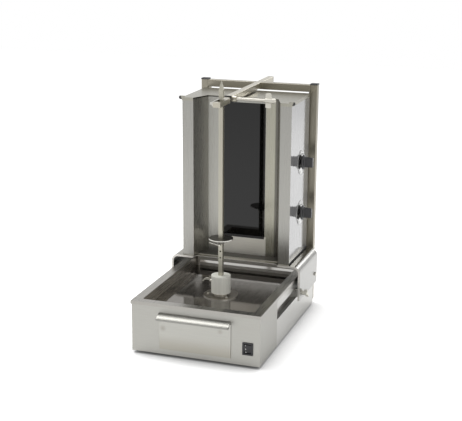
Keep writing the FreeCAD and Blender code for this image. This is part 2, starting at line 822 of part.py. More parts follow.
# ---------------------------------------------------------------- heater housing
def housing_outline():
    """Plan of the housing's front: wings, sloping recess walls and inner panel."""
    return [(-housing_half, housing_y0), (-wing_inner, housing_y0), (-recess_half_width, recess_y),
            (recess_half_width, recess_y), (wing_inner, housing_y0), (housing_half, housing_y0)]


def housing_front_panel():
    outline = [(x, y, housing_z0) for x, y in strip(housing_outline(), sheet)]
    panel = prism(outline, (0, 0, housing_z1 - housing_z0))
    return panel.cut(box(-window_half_width, window_half_width, recess_y - 9, recess_y + 9,
                         base_z + window_bottom, base_z + window_top))


def housing_side():
    return box(side_x, housing_half, housing_y0 + sheet, housing_y1 - sheet, housing_z0, housing_z1)


def housing_side_right():
    panel = housing_side()
    for height in knob_heights:
        panel = panel.cut(rod((side_x - 5, knob_y, base_z + height), (1, 0, 0), shaft_hole_radius, 20))
    return panel


def housing_back_panel():
    panel = box(-housing_half, housing_half, housing_y1 - sheet, housing_y1, housing_z0, housing_z1)
    for level in (housing_z0 + vent_margin, housing_z1 - vent_margin - vent_count * vent_pitch):
        for row in range(vent_count):
            z = level + row * vent_pitch
            panel = panel.cut(box(-vent_length, vent_length, housing_y1 - 9, housing_y1 + 9,
                                  z, z + vent_width))
    hole = (wiring_hole_x, housing_y1 - 9, housing_z0 + wiring_hole_height)
    return panel.cut(rod(hole, (0, 1, 0), wiring_hole_radius, 20))


def housing_floor():
    y0 = front_y + floor_plate_front
    plate = prism([(x, y, saddle_z) for x, y in (
        (-housing_half, housing_y0), (-wing_inner, housing_y0), (-wing_inner, y0), (wing_inner, y0),
        (wing_inner, housing_y0), (housing_half, housing_y0), (housing_half, housing_y1),
        (-housing_half, housing_y1))], (0, 0, saddle_sheet))
    return plate


def top_cover():
    """Plate over the housing with a turned-down edge and a lug at each front corner."""
    z1 = housing_z1 + cover_height
    grow = sheet
    y0 = housing_y0 - grow
    y1 = housing_y1 + grow
    half = housing_half + grow
    outline = [(-half, y0), (-wing_inner, y0), (-recess_half_width, recess_y - grow),
               (recess_half_width, recess_y - grow), (wing_inner, y0), (half, y0), (half, y1), (-half, y1)]
    z0 = z1 - sheet
    plate = prism([(x, y, z0) for x, y in outline], (0, 0, sheet))
    lips = [box(half - sheet, half, y0, y1, z0 - cover_lip, z0),
            box(-half, -half + sheet, y0, y1, z0 - cover_lip, z0),
            box(-half, half, y1 - sheet, y1, z0 - cover_lip, z0),
            box(wing_inner, half, y0, y0 + sheet, z0 - cover_lip, z0),
            box(-half, -wing_inner, y0, y0 + sheet, z0 - cover_lip, z0)]
    lug_x = housing_half + lug_reach - lug_radius
    lug_z = z1 - 1
    lug = rod((lug_x, y0, lug_z), (0, 1, 0), lug_radius, sheet)
    lug = lug.fuse(box(half - lug_root, lug_x, y0, y0 + sheet, lug_z - lug_radius, lug_z + lug_radius))
    lips += [lug, mirrored(lug)]
    spacer_y = housing_y0 + cover_spacer_start
    spacer = box(-housing_half, -wing_inner, spacer_y, spacer_y + cover_spacer_length, housing_z1, z0)
    bridge = [spacer, mirrored(spacer)]
    return fuse([plate] + lips + bridge)


def splash_panel():
    return box(-splash_half_width, splash_half_width, recess_y - splash_thick, recess_y,
               housing_z0, base_z + window_bottom + 2)


def glass_panel():
    y = recess_y + sheet
    half = window_half_width + glass_overlap
    return box(-half, half, y, y + glass_thick, base_z + window_bottom - glass_overlap,
               base_z + window_top + glass_overlap)


def glass_clips():
    clips = []
    y = recess_y + sheet
    x0 = window_half_width + glass_overlap
    for height in (window_bottom + clip_inset, (window_bottom + window_top) / 2, window_top - clip_inset):
        z = base_z + height
        path = [(x0 + clip_leg, y), (x0 + clip_sheet, y), (x0 + clip_sheet, y + glass_thick),
                (x0 - clip_grip, y + glass_thick)]
        outline = [(px, py, z - clip_width / 2) for px, py in strip(path, -clip_sheet)]
        clip = prism(outline, (0, 0, clip_width))
        clips += [clip, mirrored(clip)]
    return Part.makeCompound(clips)


def reflector():
    """Polished trough behind the glass that carries the elements."""
    y0 = reflector_y
    y1 = y0 + reflector_depth
    half = window_half_width + glass_overlap
    path = [(-half, y0), (-half + reflector_taper, y1), (half - reflector_taper, y1), (half, y0)]
    z0 = base_z + window_bottom - glass_overlap
    length = window_top - window_bottom + 2 * glass_overlap
    return prism([(x, y, z0) for x, y in strip(path, reflector_sheet)], (0, 0, length))


def insulation_board():
    y0 = reflector_y + reflector_depth + reflector_sheet
    half = window_half_width - insulation_side_gap
    return box(-half, half, y0, y0 + insulation_thick, base_z + window_bottom, base_z + window_top)


def heating_zone(low):
    """Ribbon element that runs to and fro across one half of the window."""
    y1 = reflector_y + reflector_depth - bracket_depth
    y0 = y1 - ribbon_depth
    count = int((window_top - window_bottom) / 2 // element_pitch)
    runs = []
    for i in range(count):
        z = low + element_pitch * (i + 0.5)
        runs.append(box(-element_half_width, element_half_width, y0, y1, z, z + ribbon_thick))
        if i:
            x = element_half_width - ribbon_thick if i % 2 else -element_half_width
            runs.append(box(x, x + ribbon_thick, y0, y1, z - element_pitch, z + ribbon_thick))
    return fuse(runs)


def element_brackets():
    """Two upright ceramic strips behind the ribbons."""
    y1 = reflector_y + reflector_depth
    z0 = base_z + window_bottom + strip_end_gap
    z1 = base_z + window_top - strip_end_gap
    strips = []
    for x in (-element_half_width + strip_inset, element_half_width - strip_inset - strip_width):
        strips.append(box(x, x + strip_width, y1 - bracket_depth, y1, z0, z1))
    return Part.makeCompound(strips)


def regulators():
    boxes = []
    half = regulator_width / 2
    for height in knob_heights:
        z = base_z + height
        case = box(side_x - regulator_depth, side_x, knob_y - half, knob_y + half, z - half, z + half)
        r = knob_shaft_radius + slide_gap
        bore = box(side_x - spindle_inside, side_x + 1, knob_y - r, knob_y + r, z - r, z + r)
        boxes.append(case.cut(bore))
    return Part.makeCompound(boxes)


def dial_plates():
    plates = []
    for height in knob_heights:
        z = base_z + height
        disc = rod((housing_half, knob_y, z), (1, 0, 0), dial_radius, dial_thick)
        plates.append(disc.cut(rod((housing_half - 1, knob_y, z), (1, 0, 0), shaft_hole_radius, 9)))
    return Part.makeCompound(plates)


def fluted_outline(centre, radius):
    """Closed outline square to X whose flutes repeat round the centre."""
    x, y, z = centre
    points = []
    for i in range(2 * knob_flutes):
        turn = math.pi * i / knob_flutes
        reach = radius - knob_flute_depth * (i % 2)
        points.append(V(x, y + reach * math.cos(turn), z + reach * math.sin(turn)))
    return Part.makePolygon(points + [points[0]])


def knob(height):
    """Fluted knob with a raised pointer bar, on its own spindle."""
    z = base_z + height
    x0 = housing_half + dial_thick + slide_gap + 0.2
    face = x0 + knob_reach - dial_thick
    base = rod((x0, knob_y, z), (1, 0, 0), knob_radius + knob_skirt, knob_skirt)
    grip = Part.Face(fluted_outline((x0 + 1, knob_y, z), knob_radius)).extrude(V(face - x0 - 1, 0, 0))
    half = pointer_width / 2
    pointer = box(face - 3, face + pointer_height, knob_y - half, knob_y + half, z + 4, z + knob_radius - 6)
    spindle_x = side_x - spindle_inside + slide_gap
    spindle = rod((spindle_x, knob_y, z), (1, 0, 0), knob_shaft_radius, x0 + 2 - spindle_x)
    return fuse([base, grip, pointer, spindle])


# ---------------------------------------------------------------- rear frame and arm
def square_tube(x0, x1, y0, y1, z0, z1, wall, along):
    """Hollow box, open at both ends along one axis."""
    outer = box(x0, x1, y0, y1, z0, z1)
    lows = [x0 + wall, y0 + wall, z0 + wall]
    highs = [x1 - wall, y1 - wall, z1 - wall]
    lows[along] -= wall + 1
    highs[along] += wall + 1
    inner = box(lows[0], highs[0], lows[1], highs[1], lows[2], highs[2])
    tube = outer.cut(inner)
    radius = wall * 0.8
    corners = []
    for edge in edges_along(tube, along):
        c = edge.CenterOfMass
        place = [c.x, c.y, c.z]
        limits = [(x0, x1), (y0, y1), (z0, z1)]
        on_corner = all(min(abs(place[a] - limits[a][0]), abs(place[a] - limits[a][1])) < 1e-6
                        for a in range(3) if a != along)
        if on_corner:
            corners.append(edge)
    return tube.makeFillet(radius, corners)


def post():
    x1 = post_outside
    return square_tube(x1 - post_size, x1, back_y, back_y + post_size,
                       base_z + post_bottom, base_z + post_top, post_wall, 2)


def post_cap():
    x1 = post_outside
    z = base_z + post_top
    o = cap_overhang
    cap = box(x1 - post_size - o, x1 + o, back_y - o, back_y + post_size + o, z, z + cap_thick)
    cap = cap.makeFillet(1.6, edges_along(cap, 2))
    w = post_wall + plug_clearance
    plug = box(x1 - post_size + w, x1 - w, back_y + w, back_y + post_size - w, z - cap_plug, z)
    return cap.fuse(plug).removeSplitter()


def post_bolts():
    bolts = []
    for height in post_bolt_heights:
        x = post_outside - post_size / 2
        head = hex_head((x, back_y + post_size, base_z + height), (0, 1, 0),
                        post_bolt_radius, post_bolt_height)
        bolts += [head, mirrored(head)]
    return Part.makeCompound(bolts)


def crossbar():
    half = post_outside - post_size
    z1 = base_z + post_top
    bar = square_tube(-half, half, back_y, back_y + post_size, z1 - post_size, z1, post_wall, 0)
    notch = box(arm_centre_x - arm_width / 2, arm_centre_x + arm_width / 2,
                back_y - 9, back_y + post_size + 9, arm_z - arm_height / 2, z1 + 9)
    return bar.cut(notch)


def outer_arm():
    """Square tube with the clamp screw's nut welded on its right side."""
    half = arm_width / 2
    tube = square_tube(arm_centre_x - half, arm_centre_x + half, front_y + arm_front, front_y + arm_back,
                       arm_z - arm_height / 2, arm_z + arm_height / 2, arm_wall, 1)
    x0 = arm_centre_x + half
    nut = rod((x0, clamp_y, arm_z), (1, 0, 0), collar_radius, collar_length)
    bore = rod((x0 - 9, clamp_y, arm_z), (1, 0, 0), clamp_rod_radius + running_gap, collar_length + 20)
    return tube.fuse(nut).cut(bore)


def arm_plug():
    half = arm_width / 2
    w = arm_wall + plug_clearance
    y1 = front_y + arm_back
    plug = box(arm_centre_x - half + w, arm_centre_x + half - w, y1 - arm_plug_length, y1,
               arm_z - arm_height / 2 + w, arm_z + arm_height / 2 - w)
    cap = box(arm_centre_x - half, arm_centre_x + half, y1, y1 + arm_plug_cap,
              arm_z - arm_height / 2, arm_z + arm_height / 2)
    cap = cap.makeFillet(1.5, edges_along(cap, 1))
    return plug.fuse(cap).removeSplitter()


def inner_arm():
    """Bar that slides in the arm; its long notch, open to the left, takes the skewer."""
    x0 = arm_centre_x - inner_half_w
    x1 = arm_centre_x + inner_half_w
    y0 = front_y + inner_arm_front
    bar = box(x0, x1, y0, y0 + inner_arm_length, arm_z - inner_half_h, arm_z + inner_half_h)
    bar = bar.fuse(box(x0, head_right, y0, y0 + head_length, arm_z - inner_half_h, arm_z + inner_half_h))
    r = swing_radius
    bar = bar.cut(box(-notch_reach, r, hub_y - inner_arm_travel - r, hub_y + r, arm_z - 40, arm_z + 40))
    seat_z = gate_z - slide_gap
    lug = rod((gate_x, gate_y, arm_z - inner_half_h), (0, 0, 1), gate_knuckle, gate_seat)
    web = box(gate_x, x0 + 1, gate_y - gate_knuckle, gate_y + gate_knuckle, arm_z - inner_half_h, seat_z)
    bar = bar.fuse(lug.fuse(web))
    pin_z = arm_z - inner_half_h
    pin = rod((gate_x, gate_y, pin_z), (0, 0, 1), gate_pin_radius, gate_top - pin_z)
    return bar.fuse(pin).removeSplitter()


def gate_latch():
    """Plate that closes the notch, hinged behind it on an upright pin."""
    x1 = arm_centre_x - inner_half_w - gate_side_gap
    x0 = x1 - gate_thick
    y0 = gate_y - gate_length
    plate = box(x0, x1, y0, gate_y, gate_z - 3, gate_top)
    plate = plate.cut(box(x0 - 9, x1 + 9, gate_y - gate_knuckle - 2, gate_y + 9, gate_z - 9, gate_z))
    part = plate.fuse(rod((gate_x, gate_y, gate_z), (0, 0, 1), gate_knuckle, gate_top - gate_z))
    grip = box(x0 - gate_grip_reach, x0, y0 + 2, y0 + 2 + gate_grip_width, gate_z + 2, gate_top - 2)
    bore = rod((gate_x, gate_y, gate_z - 9), (0, 0, 1), gate_pin_radius + running_gap, 90)
    return part.fuse(grip).cut(bore).removeSplitter()


def clamp_screw():
    """Butterfly screw that clamps the inner bar from the right."""
    x0 = arm_centre_x + inner_half_w + slide_gap
    x1 = arm_centre_x + arm_width / 2 + clamp_rod_length
    stem = rod((x0, clamp_y, arm_z), (1, 0, 0), clamp_rod_radius, x1 + 1 - x0)
    hub_part = rod((x1, clamp_y, arm_z), (1, 0, 0), clamp_hub_radius, clamp_hub_length)
    middle = x1 + clamp_wing_width / 2
    wing_y = clamp_y - clamp_wing_thick / 2
    wing = Part.makeCylinder(clamp_wing_half, clamp_wing_thick, V(middle, wing_y, arm_z), V(0, 1, 0))
    keep = box(x1, x1 + clamp_wing_width, clamp_y - 9, clamp_y + 9, arm_z - 60, arm_z + 60)
    wing = wing.common(keep)
    return fuse([stem, hub_part, wing])


def main():
    os.makedirs("parts", exist_ok=True)
    right_side = side_panel()
    rail = guide_rail()
    right_post = post()
    cap = post_cap()
    pieces = {
        "front_panel": front_panel(),
        "side_panel_right": right_side,
        "side_panel_left": mirrored(right_side),
        "back_panel": back_panel(),
        "bottom_plate": bottom_plate(),
        "rubber_feet": feet(),
        "drip_tray": drip_tray(),
        "guide_rail_right": rail,
        "guide_rail_left": mirrored(rail),
        "drawer_runners": drawer_runners(),
        "switch_housing": switch_housing(),
        "switch_rocker": rocker(),
        "terminal_block": terminal_block(),
        "supply_gland": cable_gland(gland_x, back_y, gland_z),
        "hub_flange": hub_flange(),
        "drive_bearing": drive_bearing(),
        "flange_screws": flange_screws(),
        "motor_bracket": motor_bracket(),
        "gear_motor": gear_motor(),
        "drive_shaft": drive_shaft(),
        "hub": hub(),
        "hub_thumb_screw": hub_thumb_screw(),
        "skewer": skewer(),
        "meat_plate": meat_plate(),
        "plate_pin": plate_pin(),
        "drawer_front": drawer_front(),
        "drawer_handle": drawer_handle(),
        "drawer_box": drawer_box(),
        "saddle": saddle(),
        "slide_shoes": slide_shoes(),
        "guide_pins": guide_pins(),
        "carriage_lock_screw": lock_screw(),
        "housing_floor": housing_floor(),
        "housing_front_panel": housing_front_panel(),
        "housing_side_left": mirrored(housing_side()),
        "housing_side_right": housing_side_right(),
        "housing_back_panel": housing_back_panel(),
        "top_cover": top_cover(),
        "splash_panel": splash_panel(),
        "glass_panel": glass_panel(),
        "glass_clips": glass_clips(),
        "reflector": reflector(),
        "insulation_board": insulation_board(),
        "heating_zone_upper": heating_zone(base_z + (window_bottom + window_top) / 2),
        "heating_zone_lower": heating_zone(base_z + window_bottom),
        "element_brackets": element_brackets(),
        "regulators": regulators(),
        "dial_plates": dial_plates(),
        "knob_upper": knob(knob_heights[0]),
        "knob_lower": knob(knob_heights[1]),
        "rear_posts": both_sides(right_post),
        "post_caps": both_sides(cap),
        "post_bolts": post_bolts(),
        "crossbar": crossbar(),
        "outer_arm": outer_arm(),
        "arm_plug": arm_plug(),
        "inner_arm": inner_arm(),
        "gate_latch": gate_latch(),
        "clamp_screw": clamp_screw(),
    }
    for name, shape in pieces.items():
        save(name, shape)
        print(name, len(shape.Solids), shape.isValid(), round(shape.Volume / 1000, 1))
    print(len(pieces), "nodes")


main()
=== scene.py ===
import math
import bpy
import bmesh
from mathutils import Matrix, Vector


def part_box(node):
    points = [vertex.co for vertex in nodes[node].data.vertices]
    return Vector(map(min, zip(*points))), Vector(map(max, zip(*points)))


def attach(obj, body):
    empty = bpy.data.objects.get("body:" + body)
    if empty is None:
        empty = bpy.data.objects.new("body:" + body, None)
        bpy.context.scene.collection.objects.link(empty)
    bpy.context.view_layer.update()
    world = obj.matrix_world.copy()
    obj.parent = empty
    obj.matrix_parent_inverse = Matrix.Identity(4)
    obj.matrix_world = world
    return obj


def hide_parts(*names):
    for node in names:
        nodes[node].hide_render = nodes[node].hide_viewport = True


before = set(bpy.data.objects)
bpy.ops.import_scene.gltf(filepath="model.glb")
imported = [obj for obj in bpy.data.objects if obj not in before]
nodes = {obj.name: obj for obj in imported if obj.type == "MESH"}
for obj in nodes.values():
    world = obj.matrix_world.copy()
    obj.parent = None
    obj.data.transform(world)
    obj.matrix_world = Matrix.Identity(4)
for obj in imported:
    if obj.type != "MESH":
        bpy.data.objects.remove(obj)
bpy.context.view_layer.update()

print("frame loaded:", len(nodes), "nodes")

viewpoint = {
    "place": (1.22338, -3.55920, 1.45471),   # metres, in the grill's own frame
    "azimuth": 19.1185,                      # degrees to the right of straight ahead
    "elevation": 15.1353,                    # degrees above the horizon
    "roll": 0.2302,
    "lens": 86.39,
    "sensor": 36.0,
    "shiftX": 0.01232,
    "farthest": 50.0,
}


def addCamera(v):
    az, el, roll = (math.radians(v[k]) for k in ("azimuth", "elevation", "roll"))
    back = Vector((math.sin(az) * math.cos(el), -math.cos(az) * math.cos(el), math.sin(el)))
    right = Vector((math.cos(az), math.sin(az), 0.0))
    up = back.cross(right)
    sideways = math.cos(roll) * right + math.sin(roll) * up
    upwards = -math.sin(roll) * right + math.cos(roll) * up
    data = bpy.data.cameras.new("grillCamera")
    data.lens, data.sensor_width, data.shift_x = v["lens"], v["sensor"], v["shiftX"]
    data.clip_end = v["farthest"]
    camera = bpy.data.objects.new("grillCamera", data)
    turn = Matrix((sideways, upwards, back)).transposed().to_4x4()
    camera.matrix_world = Matrix.Translation(v["place"]) @ turn
    bpy.context.scene.collection.objects.link(camera)
    bpy.context.scene.camera = camera


# node helpers

def multiplied(tree, first, second):
    # the second may be a plain number
    node = tree.nodes.new("ShaderNodeMath")
    node.operation = "MULTIPLY"
    tree.links.new(first, node.inputs[0])
    if isinstance(second, float):
        node.inputs[1].default_value = second
    else:
        tree.links.new(second, node.inputs[1])
    return node.outputs[0]


def spread(tree, value, low, high, fromLow=0.3, fromHigh=0.7, smooth=False):
    # low where the value is fromLow, high where it is fromHigh
    ramp = tree.nodes.new("ShaderNodeMapRange")
    if smooth:
        ramp.interpolation_type = "SMOOTHSTEP"
    ramp.inputs["From Min"].default_value = fromLow
    ramp.inputs["From Max"].default_value = fromHigh
    ramp.inputs["To Min"].default_value = low
    ramp.inputs["To Max"].default_value = high
    tree.links.new(value, ramp.inputs["Value"])
    return ramp.outputs[0]


def blendColour(tree, factor, first, second):
    # each colour is a plain one or another node's output
    mix = tree.nodes.new("ShaderNodeMix")
    mix.data_type = "RGBA"
    for socket, colour in ((6, first), (7, second)):     # the node's colour sockets, A and B
        if isinstance(colour, tuple):
            mix.inputs[socket].default_value = (*colour, 1.0)
        else:
            tree.links.new(colour, mix.inputs[socket])
    tree.links.new(factor, mix.inputs[0])
    return mix.outputs[2]


def seenDirectly(tree):
    # 1 for camera, glossy and transmission rays, 0 for the rays that light the grill
    path = tree.nodes.new("ShaderNodeLightPath")
    seen = path.outputs["Is Camera Ray"]
    for kind in ("Is Glossy Ray", "Is Transmission Ray"):
        either = tree.nodes.new("ShaderNodeMath")
        either.operation = "MAXIMUM"
        tree.links.new(seen, either.inputs[0])
        tree.links.new(path.outputs[kind], either.inputs[1])
        seen = either.outputs[0]
    return seen


# studio

studio = {
    "floorSize": 14.0,
    "floorColour": (0.86, 0.86, 0.86),
    "floorGlow": 0.55,               # only what the camera and shiny surfaces see
    "contactDark": 0.30,             # the floor's level in the grill's contact shadow
    "contactReach": 0.11,            # how far that shadow spreads
    "contactRange": (0.30, 0.75),    # openness where the shadow is full, and where it ends
    "contactSamples": 8,
    "skyLevel": 0.58,
    "aim": (0.0, 0.0, 0.35),         # what the softboxes point at
    "softboxes": (                   # name, place, size and power
        ("keySoftbox", (-1.9, 0.4, 3.6), 2.6, 95.0),
        ("fillSoftbox", (2.4, -2.2, 2.2), 2.2, 18.0),
        ("backSoftbox", (1.35, 3.5, 2.1), 1.3, 24.0),
    ),
}


def addFloor(s):
    half = s["floorSize"] / 2
    corners = [(-half, -half, 0), (half, -half, 0), (half, half, 0), (-half, half, 0)]
    mesh = bpy.data.meshes.new("studioFloor")
    mesh.from_pydata(corners, [], [(0, 1, 2, 3)])
    floor = bpy.data.objects.new("studioFloor", mesh)
    bpy.context.scene.collection.objects.link(floor)
    paper = bpy.data.materials.new("studioPaper")
    paper.use_nodes = True
    tree = paper.node_tree
    tree.nodes.clear()
    shelter = tree.nodes.new("ShaderNodeAmbientOcclusion")
    shelter.samples = s["contactSamples"]
    shelter.inputs["Distance"].default_value = s["contactReach"]
    openness = shelter.outputs["AO"]
    light = spread(tree, openness, s["contactDark"], 1.0, *s["contactRange"])
    matt = tree.nodes.new("ShaderNodeBsdfDiffuse")
    tree.links.new(blendColour(tree, light, (0.0, 0.0, 0.0), s["floorColour"]), matt.inputs["Color"])
    glow = tree.nodes.new("ShaderNodeEmission")
    glow.inputs["Color"].default_value = (1, 1, 1, 1)
    unshaded = multiplied(tree, seenDirectly(tree), openness)
    tree.links.new(multiplied(tree, unshaded, s["floorGlow"]), glow.inputs["Strength"])
    both = tree.nodes.new("ShaderNodeAddShader")
    tree.links.new(matt.outputs[0], both.inputs[0])
    tree.links.new(glow.outputs[0], both.inputs[1])
    out = tree.nodes.new("ShaderNodeOutputMaterial")
    tree.links.new(both.outputs[0], out.inputs["Surface"])
    mesh.materials.append(paper)


def addSky(s):
    world = bpy.data.worlds.new("studioSky")
    bpy.context.scene.world = world
    world.use_nodes = True
    tree = world.node_tree
    tree.nodes.clear()
    out = tree.nodes.new("ShaderNodeOutputWorld")
    background = tree.nodes.new("ShaderNodeBackground")
    background.inputs["Color"].default_value = (1, 1, 1, 1)
    level = spread(tree, seenDirectly(tree), s["skyLevel"], 1.0, 0.0, 1.0)
    tree.links.new(level, background.inputs["Strength"])
    tree.links.new(background.outputs[0], out.inputs["Surface"])


def addSoftbox(name, place, size, power, aim):
    data = bpy.data.lights.new(name, "AREA")
    data.shape, data.size, data.energy = "SQUARE", size, power
    lamp = bpy.data.objects.new(name, data)
    lamp.location = place
    facing = Vector(aim) - Vector(place)
    lamp.rotation_euler = facing.to_track_quat("-Z", "Y").to_euler()
    bpy.context.scene.collection.objects.link(lamp)


bpy.context.scene.view_settings.view_transform = "Standard"
addCamera(viewpoint)
addFloor(studio)
addSky(studio)
for softbox in studio["softboxes"]:
    addSoftbox(*softbox, studio["aim"])
print("camera and studio ready")


# finishes

steelUsual = {"metal": 1.0, "grainScale": 14.0, "bump": 0.00003,
              "cloudScale": 5.0, "cloudRange": (0.4, 0.75), "stain": 0.25, "paintedLightAndShade": (), "spots": ()}
plasticUsual = {"grainScale": 900.0, "bump": 0.00005}
grainStretch = {"x": (1.0, 90.0, 90.0), "y": (90.0, 1.0, 90.0), "z": (90.0, 90.0, 1.0)}
evenly = (1.0, 1.0, 1.0)


def newFinish(name):
    material = bpy.data.materials.new(name)
    material.use_nodes = True
    tree = material.node_tree
    return material, tree, tree.nodes["Principled BSDF"]


def ownPlace(tree):
    return tree.nodes.new("ShaderNodeTexCoord").outputs["Object"]


def noiseAlong(tree, stretch, scale, detail=3.0):
    # noise in the grill's own frame, drawn out along the axis with the smallest stretch
    mapping = tree.nodes.new("ShaderNodeMapping")
    mapping.inputs["Scale"].default_value = stretch
    noise = tree.nodes.new("ShaderNodeTexNoise")
    noise.inputs["Scale"].default_value = scale
    noise.inputs["Detail"].default_value = detail
    tree.links.new(ownPlace(tree), mapping.inputs["Vector"])
    tree.links.new(mapping.outputs[0], noise.inputs["Vector"])
    return noise.outputs["Fac"]


def alongAxis(tree, axis, start, end):
    # 0 before start, 1 after end, in metres of the grill's own frame
    axes = tree.nodes.new("ShaderNodeSeparateXYZ")
    tree.links.new(ownPlace(tree), axes.inputs[0])
    return spread(tree, axes.outputs[axis], 0.0, 1.0, start, end, smooth=True)


def nearPoint(tree, point, radius):
    # 1 at the point, fading to 0 at the radius
    far = tree.nodes.new("ShaderNodeVectorMath")
    far.operation = "DISTANCE"
    far.inputs[1].default_value = point
    tree.links.new(ownPlace(tree), far.inputs[0])
    return spread(tree, far.outputs["Value"], 1.0, 0.0, 0.0, radius)


def addBump(tree, shader, height, distance):
    bump = tree.nodes.new("ShaderNodeBump")
    bump.inputs["Distance"].default_value = distance
    tree.links.new(height, bump.inputs["Height"])
    tree.links.new(bump.outputs[0], shader.inputs["Normal"])


def drawOut(tree, shader, look):
    # reflections drawn out across the grain
    shader.inputs["Anisotropic"].default_value = look["anisotropy"]
    shader.inputs["Anisotropic Rotation"].default_value = 0.0 if look["grain"] == "z" else 0.25
    tangent = tree.nodes.new("ShaderNodeTangent")
    tangent.direction_type, tangent.axis = "RADIAL", "Z"
    tree.links.new(tangent.outputs[0], shader.inputs["Tangent"])


def brushedSteel(name, ownLook):
    look = {**steelUsual, **ownLook}
    material, tree, shader = newFinish(name)
    shader.inputs["Metallic"].default_value = look["metal"]
    if "anisotropy" in look:
        drawOut(tree, shader, look)
    grain = noiseAlong(tree, grainStretch[look["grain"]], look["grainScale"])
    cloud = noiseAlong(tree, evenly, look["cloudScale"])
    tone = blendColour(tree, spread(tree, grain, 0.0, 1.0), look["dark"], look["light"])
    stain = spread(tree, cloud, 0.0, look["stain"], *look["cloudRange"])
    tone = blendColour(tree, stain, tone, look.get("stainColour", look["dark"]))
    for axis, start, end, colour in look["paintedLightAndShade"]:
        tone = blendColour(tree, alongAxis(tree, axis, start, end), tone, colour)
    for point, radius, colour in look["spots"]:
        tone = blendColour(tree, nearPoint(tree, point, radius), tone, colour)
    tree.links.new(tone, shader.inputs["Base Color"])
    tree.links.new(spread(tree, grain, *look["roughness"]), shader.inputs["Roughness"])
    addBump(tree, shader, grain, look["bump"])
    return material


def plainPlastic(name, ownLook):
    look = {**plasticUsual, **ownLook}
    material, tree, shader = newFinish(name)
    speckle = noiseAlong(tree, evenly, look["grainScale"], 2.0)
    tree.links.new(blendColour(tree, speckle, look["dark"], look["light"]), shader.inputs["Base Color"])
    tree.links.new(spread(tree, speckle, *look["roughness"]), shader.inputs["Roughness"])
    addBump(tree, shader, speckle, look["bump"])
    return material


def blackGlass(name, look):
    material, tree, shader = newFinish(name)
    smear = noiseAlong(tree, look["smear"], look["smearScale"])
    tree.links.new(blendColour(tree, smear, look["dark"], look["light"]), shader.inputs["Base Color"])
    tree.links.new(spread(tree, smear, *look["roughness"]), shader.inputs["Roughness"])
    shader.inputs["IOR"].default_value = look["ior"]
    return material


def dress(material, *names):
    for name in names:
        mesh = nodes[name].data
        mesh.materials.clear()
        mesh.materials.append(material)


def dressFaces(name, material, wanted):
    # a second finish on the faces of a node that pass the test
    mesh = nodes[name].data
    mesh.materials.append(material)
    index = len(mesh.materials) - 1
    for face in mesh.polygons:
        if wanted(face.center, face.normal):
            face.material_index = index


def isUpright(normal):
    return abs(normal[2]) < 0.5      # within 30 degrees of a wall


# new shapes

def middleOf(name):
    low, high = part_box(name)
    return [(a + b) / 2 for a, b in zip(low, high)]


def place(name, build, material, body, slot):
    # finish a new piece: one mesh from build(bm), its material and its body; the slot argument is not used
    bm = bmesh.new()
    build(bm)
    bmesh.ops.recalc_face_normals(bm, faces=bm.faces)
    mesh = bpy.data.meshes.new(name)
    bm.to_mesh(mesh)
    bm.free()
    mesh.materials.append(material)
    piece = bpy.data.objects.new(name, mesh)
    bpy.context.scene.collection.objects.link(piece)
    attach(piece, body)
    return piece


def sweepRing(bm, rings, looped=False):
    # skin a list of equal rings of points; a loop joins the last to the first, else both are capped
    loops = [[bm.verts.new(p) for p in ring] for ring in rings]
    following = loops[1:] + loops[:1] if looped else loops[1:]
    count = len(loops[0])
    for first, second in zip(loops, following):
        for i in range(count):
            j = (i + 1) % count
            bm.faces.new((first[i], first[j], second[j], second[i]))
    if not looped:
        bm.faces.new(loops[0][::-1])
        bm.faces.new(loops[-1])


def addBlock(bm, low, high):
    ring = [(low[0], low[1]), (high[0], low[1]), (high[0], high[1]), (low[0], high[1])]
    sweepRing(bm, [[(x, y, z) for x, y in ring] for z in (low[2], high[2])])


def addSlab(bm, corners, offset):
    # thin closed solid between a flat outline and its copy moved by offset
    corners = [Vector(corner) for corner in corners]
    sweepRing(bm, [corners, [corner + offset for corner in corners]])


def roundOnX(profile, y, z, count=48):
    # rings about an axis along X, from pairs of x and radius
    turns = [2 * math.pi * i / count for i in range(count)]
    return [[(x, y + radius * math.cos(turn), z + radius * math.sin(turn)) for turn in turns]
            for x, radius in profile]


def roundedBar(x, y, z, halfY, halfZ, corner, steps=5):
    # rounded rectangle in the plane x
    ring = []
    for quarter, (signY, signZ) in enumerate(((1, 1), (-1, 1), (-1, -1), (1, -1))):
        for i in range(steps + 1):
            angle = math.pi / 2 * (quarter + i / steps)
            ring.append((x, y + signY * (halfY - corner) + corner * math.cos(angle),
                         z + signZ * (halfZ - corner) + corner * math.sin(angle)))
    return ring


# base

frontSheet = {"grain": "x", "dark": (0.335, 0.33, 0.305), "light": (0.385, 0.38, 0.355),
              "roughness": (0.34, 0.46), "stain": 0.15}
dress(brushedSteel("frontSheet", frontSheet), "front_panel")

sideSheet = {"grain": "y", "dark": (0.42, 0.415, 0.395), "light": (0.48, 0.475, 0.455),
             "roughness": (0.26, 0.36)}
dress(brushedSteel("sideSheet", sideSheet), "side_panel_left", "side_panel_right")

backSheet = {"grain": "x", "dark": (0.38, 0.375, 0.35), "light": (0.45, 0.445, 0.42),
             "roughness": (0.3, 0.42)}
dress(brushedSteel("backSheet", backSheet), "back_panel", "bottom_plate", "drawer_runners", "motor_bracket")

# painted highlight and shade: the wide dark-to-light range of the rail's grain streaks stands in for its
# lit and shaded edges
railSteel = {"grain": "y", "metal": 0.6, "dark": (0.30, 0.29, 0.27), "light": (0.62, 0.61, 0.58),
             "roughness": (0.25, 0.35), "grainScale": 9.0}
dress(brushedSteel("railSteel", railSteel), "guide_rail_left", "guide_rail_right")

rubber = {"dark": (0.015, 0.015, 0.015), "light": (0.03, 0.03, 0.03), "roughness": (0.7, 0.85)}
blackRubber = plainPlastic("blackRubber", rubber)
dress(blackRubber, "rubber_feet")
print("base dressed")

# drip tray

